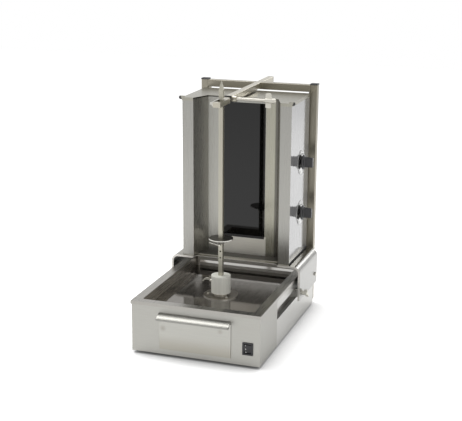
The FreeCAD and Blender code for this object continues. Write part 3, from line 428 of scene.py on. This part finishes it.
trayRim = {"grain": "y", "dark": (0.29, 0.28, 0.26), "light": (0.35, 0.34, 0.315),
           "roughness": (0.24, 0.34)}
# painted shade: the basin's floor is a much darker copy of the tray steel, for the shade under the carriage
shadedTrayBasin = {"grain": "y", "metal": 0.8, "dark": (0.150, 0.137, 0.12), "light": (0.185, 0.172, 0.155),
             "roughness": (0.05, 0.10), "grainScale": 4.0, "bump": 0.00002,
             "stain": 0.5, "stainColour": (0.14, 0.125, 0.105)}
# painted reflection: the basin's upright walls are a paler copy of the tray steel
trayWallPaintedReflection = {"grain": "y", "metal": 0.7, "dark": (0.34, 0.315, 0.27), "light": (0.44, 0.41, 0.36),
            "roughness": (0.22, 0.34), "grainScale": 5.0}
# painted light: a pale band on the basin's rear wall stands in for light reflected there
trayRearPaintedLight = {"grain": "x", "metal": 0.15, "dark": (0.64, 0.61, 0.56), "light": (0.76, 0.73, 0.68),
            "roughness": (0.3, 0.4), "facing": 0.95}
basinEdge = {"fromSide": 0.004, "fromTop": 0.0005}
trayLow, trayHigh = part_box("drip_tray")


def inBasin(centre):
    # below the rim and inside the tray's outer lip
    inside = abs(centre[0]) < trayHigh[0] - basinEdge["fromSide"]
    behind = centre[1] > trayLow[1] + basinEdge["fromSide"]
    return inside and behind and centre[2] < trayHigh[2] - basinEdge["fromTop"]


dress(brushedSteel("trayRim", trayRim), "drip_tray")
dressFaces("drip_tray", brushedSteel("shadedTrayBasin", shadedTrayBasin), lambda c, n: inBasin(c))
dressFaces("drip_tray", brushedSteel("trayWallPaintedReflection", trayWallPaintedReflection), lambda c, n: inBasin(c) and isUpright(n))
dressFaces("drip_tray", brushedSteel("trayRearPaintedLight", trayRearPaintedLight),
           lambda c, n: inBasin(c) and n[1] < -trayRearPaintedLight["facing"])

trayFold = {"low": 0.1605, "high": 0.1690, "reach": 0.00255, "facing": 0.99}
# the fold's paler, glossier steel is partly real reflection off its slope and partly painted light
foldSteelAndPaintedLight = {"grain": "x", "dark": (0.44, 0.43, 0.41), "light": (0.56, 0.55, 0.53),
             "roughness": (0.08, 0.14)}


def addTrayFold(g):
    # sloped fold along the rear wall of the basin
    mesh = nodes["drip_tray"].data
    walls = [face for face in mesh.polygons if face.normal[1] < -g["facing"]]
    rear = max(walls, key=lambda face: face.center[1])
    across = [mesh.vertices[i].co[0] for i in rear.vertices]
    y = rear.center[1]
    profile = ((y, g["low"]), (y - g["reach"], g["low"]), (y, g["high"]))

    def build(bm):
        sweepRing(bm, [[(x, along, up) for along, up in profile] for x in (min(across), max(across))])

    place("trayFold", build, brushedSteel("foldSteelAndPaintedLight", foldSteelAndPaintedLight), "base", "satin_steel")


addTrayFold(trayFold)
print("drip tray dressed")

# drawer

drawerSheet = {"grain": "x", "dark": (0.36, 0.355, 0.33), "light": (0.41, 0.405, 0.375),
               "roughness": (0.30, 0.40),
               # painted shade: the drawer front darkens towards its bottom
               "paintedLightAndShade": (("Z", 0.090, 0.035, (0.325, 0.313, 0.275)),),
               "spots": (((-0.113, -0.3385, 0.104), 0.014, (0.29, 0.28, 0.25)),
                         ((0.090, -0.3385, 0.118), 0.012, (0.31, 0.30, 0.27)))}
dress(brushedSteel("drawerSheet", drawerSheet), "drawer_front", "drawer_box")

# painted shade: a darker copy of the drawer steel, toning down the light on the handle's roll
shadedHandleSheet = {"grain": "x", "dark": (0.24, 0.237, 0.22), "light": (0.29, 0.286, 0.265),
               "roughness": (0.24, 0.31), "grainScale": 8.0}
dress(brushedSteel("shadedHandleSheet", shadedHandleSheet), "drawer_handle")
print("drawer dressed")

# drive, skewer and meat plate

hubAluminium = {"grain": "z", "metal": 0.15, "dark": (0.72, 0.72, 0.66), "light": (0.84, 0.84, 0.77),
                "roughness": (0.30, 0.42), "grainScale": 6.0}
dress(brushedSteel("hubAluminium", hubAluminium), "hub")

skewerBar = {"grain": "z", "dark": (0.35, 0.335, 0.28), "light": (0.44, 0.425, 0.36),
             "roughness": (0.28, 0.42)}
dress(brushedSteel("skewerBar", skewerBar), "skewer")

brightParts = {"grain": "x", "dark": (0.46, 0.45, 0.41), "light": (0.58, 0.57, 0.53),
               "roughness": (0.16, 0.28)}
dress(brushedSteel("brightParts", brightParts), "drive_bearing", "drive_shaft", "guide_pins", "post_bolts",
      "gate_latch")

platedScrews = {"grain": "x", "metal": 0.6, "dark": (0.62, 0.60, 0.53), "light": (0.76, 0.745, 0.68),
                "roughness": (0.2, 0.32)}
dress(brushedSteel("platedScrews", platedScrews), "flange_screws", "hub_thumb_screw", "plate_pin",
      "carriage_lock_screw")

# painted shade on the flange's top, and a painted highlight on its upright rim in the bright steel
shadedFlangeSteel = {"grain": "x", "dark": (0.19, 0.17, 0.14), "light": (0.26, 0.235, 0.20),
               "roughness": (0.26, 0.38)}
dress(brushedSteel("shadedFlangeSteel", shadedFlangeSteel), "hub_flange")
dressFaces("hub_flange", brushedSteel("flangeRimHighlight", brightParts), lambda c, n: isUpright(n))

# painted shade: the meat plate's top is a near-black copy of its steel
shadedPlateSteel = {"grain": "x", "dark": (0.10, 0.095, 0.085), "light": (0.15, 0.142, 0.125),
              "roughness": (0.28, 0.4), "rimRadius": 0.038}     # the painted highlight of the rim lies outside this radius
hubCentre = middleOf("hub_flange")[:2]
dress(brushedSteel("shadedPlateSteel", shadedPlateSteel), "meat_plate")
dressFaces("meat_plate", brushedSteel("plateRimHighlight", brightParts),
           lambda c, n: isUpright(n) and math.dist(c[:2], hubCentre) > shadedPlateSteel["rimRadius"])

castGrey = {"grain": "x", "dark": (0.16, 0.165, 0.17), "light": (0.20, 0.205, 0.21),
            "roughness": (0.5, 0.6)}
dress(brushedSteel("castGrey", castGrey), "gear_motor")
print("drive dressed")

# carriage and heater housing

saddleSheet = {"grain": "y", "dark": (0.27, 0.267, 0.255), "light": (0.32, 0.317, 0.305),
               "roughness": (0.20, 0.30)}
# painted light: the saddle's front-facing faces are a pale copy of its steel
saddleHemPaintedLight = {"grain": "x", "metal": 0.4, "dark": (0.62, 0.60, 0.56), "light": (0.72, 0.70, 0.66),
             "roughness": (0.25, 0.35), "facing": 0.7}
# painted shade: the saddle's flat top is a darker copy of its steel
saddleTopPaintedShade = {"grain": "y", "dark": (0.24, 0.23, 0.20), "light": (0.31, 0.30, 0.265),
             "roughness": (0.16, 0.26), "facing": 0.98}
dress(brushedSteel("saddleSheet", saddleSheet), "saddle")
dressFaces("saddle", brushedSteel("saddleHemPaintedLight", saddleHemPaintedLight), lambda c, n: n[1] < -saddleHemPaintedLight["facing"])
dressFaces("saddle", brushedSteel("saddleTopPaintedShade", saddleTopPaintedShade), lambda c, n: n[2] > saddleTopPaintedShade["facing"])

slidePlastic = {"dark": (0.50, 0.49, 0.45), "light": (0.60, 0.59, 0.55), "roughness": (0.45, 0.6)}
dress(plainPlastic("slidePlastic", slidePlastic), "slide_shoes", "terminal_block")

housingSheet = {"grain": "z", "dark": (0.285, 0.28, 0.26), "light": (0.35, 0.345, 0.325),
                "roughness": (0.24, 0.34), "anisotropy": 0.7,
                # painted reflections and shade: bands across X paint the left recess wall lighter, the
                # right panel khaki and a dark band before the right wing
                "paintedLightAndShade": (("X", -0.163, -0.160, (0.42, 0.41, 0.375)),
                          ("X", -0.133, -0.130, (0.315, 0.31, 0.285)),
                          ("X", 0.080, 0.090, (0.34, 0.33, 0.275)),
                          ("X", 0.119, 0.125, (0.13, 0.125, 0.11)),
                          ("X", 0.159, 0.163, (0.305, 0.30, 0.28)))}
dress(brushedSteel("housingSheet", housingSheet), "housing_front_panel", "housing_back_panel")

# painted shade on the housing floor's top, and painted light on its front-facing edge
shadedFloorSheet = {"grain": "x", "metal": 0.6, "dark": (0.05, 0.047, 0.04), "light": (0.08, 0.075, 0.064),
              "roughness": (0.5, 0.6)}
floorEdgePaintedLight = {"grain": "x", "dark": (0.40, 0.385, 0.34), "light": (0.52, 0.50, 0.45),
             "roughness": (0.3, 0.4), "facing": 0.5}
dress(brushedSteel("shadedFloorSheet", shadedFloorSheet), "housing_floor", "element_brackets", "glass_clips")
dressFaces("housing_floor", brushedSteel("floorEdgePaintedLight", floorEdgePaintedLight), lambda c, n: n[1] < -floorEdgePaintedLight["facing"])

coverSheet = {"grain": "x", "dark": (0.29, 0.28, 0.24), "light": (0.34, 0.33, 0.285),
              "roughness": (0.26, 0.38)}
lugDark = {"dark": (0.035, 0.034, 0.032), "light": (0.06, 0.058, 0.055), "roughness": (0.4, 0.5),
           "fromMiddle": 0.2048}
dress(brushedSteel("coverSheet", coverSheet), "top_cover")
dressFaces("top_cover", plainPlastic("lugDark", lugDark), lambda c, n: abs(c[0]) > lugDark["fromMiddle"])

splashSheet = {"grain": "x", "dark": (0.62, 0.60, 0.55), "light": (0.70, 0.68, 0.62),
               "roughness": (0.30, 0.40)}
dress(brushedSteel("splashSheet", splashSheet), "splash_panel")

sidePolished = {"grain": "z", "metal": 0.5, "dark": (0.33, 0.33, 0.33), "light": (0.38, 0.38, 0.38),
                "roughness": (0.07, 0.12)}
dress(brushedSteel("sidePolished", sidePolished), "housing_side_left", "housing_side_right")

heaterGlass = {"dark": (0.001, 0.001, 0.001), "light": (0.002, 0.002, 0.002),
               "roughness": (0.02, 0.05), "smear": (3.0, 3.0, 0.7), "smearScale": 6.0, "ior": 1.42}
dress(blackGlass("heaterGlass", heaterGlass), "glass_panel")

glassSeal = {"height": 0.0095, "overlap": 0.0085, "thick": 0.0008, "sideGap": 0.008}


def addGlassSeal(g):
    # black seal strip between the splash panel's top edge and the glass
    low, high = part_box("splash_panel")
    glassLow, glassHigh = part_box("glass_panel")
    bottom = high[2] - g["overlap"]
    front = low[1] - g["thick"]

    def build(bm):
        addBlock(bm, (glassLow[0] + g["sideGap"], front, bottom),
                 (glassHigh[0] - g["sideGap"], low[1], bottom + g["height"]))

    place("glassSeal", build, blackRubber, "carriage", "black_plastic")


addGlassSeal(glassSeal)

heaterRibbon = {"grain": "x", "dark": (0.10, 0.09, 0.09), "light": (0.16, 0.15, 0.14),
                "roughness": (0.5, 0.65)}
dress(brushedSteel("heaterRibbon", heaterRibbon), "heating_zone_upper", "heating_zone_lower")

reflectorSheet = {"grain": "z", "dark": (0.55, 0.55, 0.53), "light": (0.65, 0.65, 0.63),
                  "roughness": (0.1, 0.2)}
dress(brushedSteel("reflectorSheet", reflectorSheet), "reflector")

mineralBoard = {"dark": (0.60, 0.57, 0.50), "light": (0.70, 0.67, 0.60), "roughness": (0.85, 0.95),
                "grainScale": 220.0}
dress(plainPlastic("mineralBoard", mineralBoard), "insulation_board")

sideSeal = {"height": 0.0035, "thick": 0.0016}


def addSideSeal(name, outward, g):
    # dark joint line where the housing stands on the saddle
    low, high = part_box("housing_side_right")
    x0, x1 = sorted((outward * high[0], outward * (high[0] + g["thick"])))

    def build(bm):
        addBlock(bm, (x0, low[1], low[2]), (x1, high[1], low[2] + g["height"]))

    place(name, build, blackRubber, "carriage", "black_plastic")


addSideSeal("sideSealRight", 1, sideSeal)
addSideSeal("sideSealLeft", -1, sideSeal)
print("housing dressed")

# knobs and dials

knobPlastic = {"dark": (0.026, 0.026, 0.028), "light": (0.042, 0.042, 0.044), "roughness": (0.38, 0.5)}
knobBlack = plainPlastic("knobPlastic", knobPlastic)
dress(knobBlack, "knob_upper", "knob_lower", "regulators")

markPaint = {"dark": (0.70, 0.70, 0.68), "light": (0.78, 0.78, 0.76), "roughness": (0.5, 0.6)}
paleMark = plainPlastic("paleMark", markPaint)

knobShape = {
    "plateGap": 0.0004,
    "stemRadius": 0.008,
    "skirtGap": 0.0040,
    "skirtRadius": 0.0262,
    "skirtThick": 0.0075,
    "skirtRound": 0.001,           # of the skirt's rear edge
    "faceRadius": 0.006,           # hidden under the grip
    "edge": 0.0012,                # bevel of the front edges
    "gripHalfWidth": 0.0085,
    "gripHalfHeight": 0.0185,
    "gripReach": 0.0420,           # from the dial plate to the grip's end
    "gripSunk": 0.001,
    "gripFoot": 0.003,
    "gripFlare": 0.002,
    "gripTaper": 0.001,
    "gripCorner": 0.004,
    "gripEndCorner": 0.003,
    "tickCount": 11,
    "tickSweep": 260,              # degrees
    "tickSize": (0.0004, 0.0016, 0.0034),
    "tickInset": 0.0036,
    "lineSize": (0.0004, 0.0016, 0.012),
    "lineRise": 0.0095,
    "lineProud": 0.0001,
}


def addTick(bm, size, spot, turn, y, z):
    # a small bar at the spot, turned about the knob's axis
    bar = bmesh.ops.create_cube(bm, size=1.0)["verts"]
    bmesh.ops.scale(bm, vec=size, verts=bar)
    bmesh.ops.translate(bm, vec=spot, verts=bar)
    bmesh.ops.rotate(bm, cent=(0, 0, 0), matrix=Matrix.Rotation(turn, 3, "X"), verts=bar)
    bmesh.ops.translate(bm, vec=(0.0, y, z), verts=bar)


def addKnob(node, body, k):
    y, z = middleOf(node)[1:]
    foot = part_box("dial_plates")[1][0] + k["plateGap"]
    start = foot + k["skirtGap"]
    face = start + k["skirtThick"]
    end = foot + k["gripReach"]
    edge, r = k["edge"], k["skirtRadius"]

    def build(bm):
        stem, bend = k["stemRadius"], k["skirtRound"]
        sweepRing(bm, roundOnX([(foot, stem), (start, stem), (start, r - bend), (start + bend, r),
                                (face - 2 * edge, r), (face, r - 2 * edge), (face, k["faceRadius"])], y, z))
        halfY, halfZ = k["gripHalfWidth"], k["gripHalfHeight"]
        taper, corner = k["gripTaper"], k["gripCorner"]
        sweepRing(bm, [
            roundedBar(face - k["gripSunk"], y, z, halfY + k["gripFlare"], halfZ + taper, corner),
            roundedBar(face + k["gripFoot"], y, z, halfY, halfZ, corner),
            roundedBar(end - edge, y, z, halfY - taper, halfZ - taper, corner),
            roundedBar(end, y, z, halfY - taper - edge, halfZ - taper - edge, k["gripEndCorner"])])

    def marks(bm):
        count, sweep = k["tickCount"], k["tickSweep"]
        for i in range(count):
            turn = math.radians(-sweep / 2 + sweep * i / (count - 1))
            addTick(bm, k["tickSize"], (face - edge, 0.0, r - k["tickInset"]), turn, y, z)
        addTick(bm, k["lineSize"], (end + k["lineProud"], 0.0, k["lineRise"]), 0.0, y, z)

    plainName = node.replace("_", "")
    knob = place(plainName + "Grip", build, knobBlack, body, "black_plastic")
    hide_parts(node)
    place(plainName + "Marks", marks, paleMark, body, "black_plastic")


addKnob("knob_upper", "upper_knob", knobShape)
addKnob("knob_lower", "lower_knob", knobShape)

dialPlate = {"grain": "y", "dark": (0.40, 0.40, 0.39), "light": (0.46, 0.46, 0.45),
             "roughness": (0.05, 0.09)}
dress(brushedSteel("dialPlate", dialPlate), "dial_plates")

inkPaint = {"dark": (0.012, 0.012, 0.012), "light": (0.02, 0.02, 0.02), "roughness": (0.4, 0.5)}
blackInk = plainPlastic("blackInk", inkPaint)
dialPrint = {
    "proud": 0.0001,
    "inkThick": 0.0001,
    "numbers": ("0", "1", "2", "3", "4", "5", "6"),
    "numberSweep": 300,            # degrees
    "numberRadius": 0.0385,
    "numberSize": 0.0120,
    "numberBold": 0.0006,
    "wedgeSweep": 270,
    "wedgeInner": 0.0275,
    "wedgeOuter": 0.0340,
    "wedgeTaper": 0.7,             # the share of its width that the wedge loses
    "wedgeSteps": 60,
    "wedgeBreak": 10,              # every tenth step is left bare
    "barInner": 0.035,
    "barOuter": 0.0425,
    "barHalf": 0.0022,
    "edgeRing": 0.0452,
    "edgeLine": 0.0009,
    "edgeSteps": 72,
}
facingRight = Matrix(((0, 0, 1), (1, 0, 0), (0, 1, 0))).to_4x4()


def addNumber(bm, number, spot, d):
    text = bpy.data.curves.new("dialNumber", "FONT")
    text.body, text.size = number, d["numberSize"]
    text.align_x, text.align_y = "CENTER", "CENTER"
    text.extrude, text.offset = d["inkThick"], d["numberBold"]
    holder = bpy.data.objects.new("dialNumber", text)
    glyph = bpy.data.meshes.new_from_object(holder)
    glyph.transform(Matrix.Translation(spot) @ facingRight)
    bm.from_mesh(glyph)
    bpy.data.objects.remove(holder)


def addDialPrint(name, node, d):
    y, z = middleOf(node)[1:]
    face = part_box("dial_plates")[1][0] + d["proud"]
    gaps = len(d["numbers"]) - 1

    def at(radius, turn):
        return (face, y + radius * math.sin(turn), z + radius * math.cos(turn))

    def numberTurn(i):
        return math.radians(-d["numberSweep"] / 2 + d["numberSweep"] * i / gaps)

    def wedgeEnds(j):
        turn = math.radians(-d["wedgeSweep"] / 2 + d["wedgeSweep"] * j / d["wedgeSteps"])
        width = (d["wedgeOuter"] - d["wedgeInner"]) * (1.0 - d["wedgeTaper"] * j / d["wedgeSteps"])
        return (d["wedgeInner"], turn), (d["wedgeInner"] + width, turn)

    def build(bm):
        for i, number in enumerate(d["numbers"]):
            addNumber(bm, number, at(d["numberRadius"], numberTurn(i)), d)
        outlines = []
        for i in range(d["wedgeSteps"]):            # the wedge that grows with the heat
            if (i + 1) % d["wedgeBreak"]:
                (a, b), (c, e) = wedgeEnds(i), wedgeEnds(i + 1)
                outlines.append((a, b, e, c))
        for i in range(gaps):                       # short bars between the numbers
            turn, half = numberTurn(i + 0.5), d["barHalf"]
            near, far = d["barInner"], d["barOuter"]
            corners = ((near, -half), (near, half), (far, half), (far, -half))
            outlines.append([(radius, turn + side / radius) for radius, side in corners])
        outer, inner = d["edgeRing"], d["edgeRing"] - d["edgeLine"]
        for i in range(d["edgeSteps"]):             # thin printed line near the plate's edge
            first, second = (2 * math.pi * j / d["edgeSteps"] for j in (i, i + 1))
            outlines.append(((inner, first), (outer, first), (outer, second), (inner, second)))
        for outline in outlines:
            addSlab(bm, [at(*corner) for corner in outline], Vector((-d["inkThick"], 0.0, 0.0)))

    place(name, build, blackInk, "carriage", "black_plastic")


addDialPrint("dialPrintUpper", "knob_upper", dialPrint)
addDialPrint("dialPrintLower", "knob_lower", dialPrint)
print("knobs and dials built")

# rear frame and arm

frameTube = {"grain": "z", "dark": (0.25, 0.23, 0.185), "light": (0.32, 0.30, 0.245),
             "roughness": (0.26, 0.38), "anisotropy": 0.6}
dress(brushedSteel("frameTube", frameTube), "rear_posts")
dress(brushedSteel("crossTube", dict(frameTube, grain="x", anisotropy=0.0)), "crossbar")

armTube = {"grain": "y", "dark": (0.42, 0.395, 0.33), "light": (0.51, 0.485, 0.41),
           "roughness": (0.26, 0.38)}
dress(brushedSteel("armTube", armTube), "outer_arm", "inner_arm")

clampCasting = {"grain": "x", "metal": 0.6, "dark": (0.52, 0.50, 0.44), "light": (0.64, 0.62, 0.56),
                "roughness": (0.3, 0.42)}
dress(brushedSteel("clampCasting", clampCasting), "clamp_screw")

capPlastic = {"dark": (0.012, 0.012, 0.013), "light": (0.022, 0.022, 0.024), "roughness": (0.4, 0.55)}
capBlack = plainPlastic("capPlastic", capPlastic)
dress(capBlack, "post_caps", "arm_plug")

postLiner = {"thick": 0.005, "bottom": 0.188, "top": 0.8155, "depth": 0.026}
linerSteel = brushedSteel("linerSteel", frameTube)


def addPostLiner(name, side, g):
    # folded strip on a post's inner face
    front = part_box("rear_posts")[0][1]
    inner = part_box("crossbar")[1][0]          # the posts' inner faces carry the crossbar
    x0, x1 = sorted((side * inner, side * (inner - g["thick"])))

    def build(bm):
        addBlock(bm, (x0, front, g["bottom"]), (x1, front + g["depth"], g["top"]))

    place(name, build, linerSteel, "base", "satin_steel")


addPostLiner("postLinerRight", 1, postLiner)
addPostLiner("postLinerLeft", -1, postLiner)

armEnd = {"halfWidth": 0.0115, "halfHeight": 0.011, "wall": 0.0021, "lip": 0.0008,
          "thick": 0.0030, "overlap": 0.002}


def addArmEnd(g):
    # black ring on the mouth of the outer tube: painted shade of the tube's open end
    low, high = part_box("outer_arm")
    middleX, middleZ = low[0] + g["halfWidth"], (low[2] + high[2]) / 2
    front, back = low[1] - g["thick"], low[1] + g["overlap"]

    def squareAt(y, grow):
        return [(middleX + sx * (g["halfWidth"] + grow), y, middleZ + sz * (g["halfHeight"] + grow))
                for sx, sz in ((-1, -1), (1, -1), (1, 1), (-1, 1))]

    def build(bm):
        outer, inner = g["lip"], -g["wall"]
        sweepRing(bm, [squareAt(front, outer), squareAt(back, outer), squareAt(back, inner),
                       squareAt(front, inner)], looped=True)

    place("armMouthShade", build, capBlack, "base", "black_plastic")


addArmEnd(armEnd)
print("frame dressed")

# switch

switchPlastic = {"dark": (0.010, 0.010, 0.011), "light": (0.020, 0.020, 0.022), "roughness": (0.35, 0.5)}
dress(plainPlastic("switchPlastic", switchPlastic), "switch_housing", "switch_rocker", "supply_gland")

rockerMarks = {"x": -0.0068, "apart": 0.0125, "size": 0.0042, "line": 0.0011, "ringSteps": 16,
               "proud": 0.00012, "thick": 0.0001, "ahead": 0.1}


def barMarks(shifts, m):
    w, h = m["line"] / 2, m["size"] / 2
    return [[(shift - w, -h), (shift + w, -h), (shift + w, h), (shift - w, h)] for shift in shifts]


def ringMark(m):
    outer, inner, steps = m["size"] / 2, m["size"] / 2 - m["line"], m["ringSteps"]
    rim = [(math.cos(2 * math.pi * i / steps), math.sin(2 * math.pi * i / steps)) for i in range(steps + 1)]
    return [[(outer * a[0], outer * a[1]), (outer * b[0], outer * b[1]),
             (inner * b[0], inner * b[1]), (inner * a[0], inner * a[1])] for a, b in zip(rim, rim[1:])]


def addRockerMarks(m):
    # pale I, O and II on the rocker's left half, laid on its sloping faces
    rocker = nodes["switch_rocker"]
    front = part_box("switch_rocker")[0][1] - m["ahead"]
    middle = middleOf("switch_rocker")
    marks = ((m["apart"], barMarks((0.0,), m)),
             (0.0, ringMark(m)),
             (-m["apart"], barMarks((-m["line"], m["line"]), m)))

    def build(bm):
        for height, outlines in marks:
            start = (middle[0] + m["x"], front, middle[2] + height)
            point, normal = rocker.ray_cast(start, (0, 1, 0))[1:3]
            turn = Vector((0, -1, 0)).rotation_difference(normal).to_matrix()
            offset = turn @ Vector((0.0, m["thick"], 0.0))
            for outline in outlines:
                addSlab(bm, [point + turn @ Vector((u, -m["proud"], v)) for u, v in outline], offset)

    place("rockerMarks", build, paleMark, "rocker", "black_plastic")


addRockerMarks(rockerMarks)
print("switch dressed")
